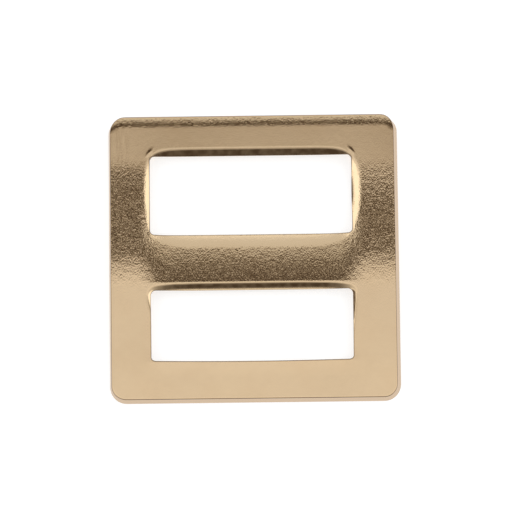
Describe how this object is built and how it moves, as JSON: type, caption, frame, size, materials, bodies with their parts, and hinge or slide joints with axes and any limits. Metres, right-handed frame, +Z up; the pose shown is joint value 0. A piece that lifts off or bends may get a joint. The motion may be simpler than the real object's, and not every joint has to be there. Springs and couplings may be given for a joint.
{
  "type": "buckle slider",
  "caption": "Square pressed-metal strap slider with a centre bar between slots for flat webbing.",
  "frame": {"origin": "middle of the bounding box, on the surface the slider lies on", "axes": "+X along the bars; +Y from the lower slot to the upper slot; +Z up, out of the front of the plate"},
  "size_m": [0.044, 0.044, 0.0023],
  "materials": {
    "pale_gold_plating": "pale gold plating on pressed steel, bright"
  },
  "bodies": {
    "root": {"slider_plate": "pale_gold_plating"}
  },
  "joints": []
}
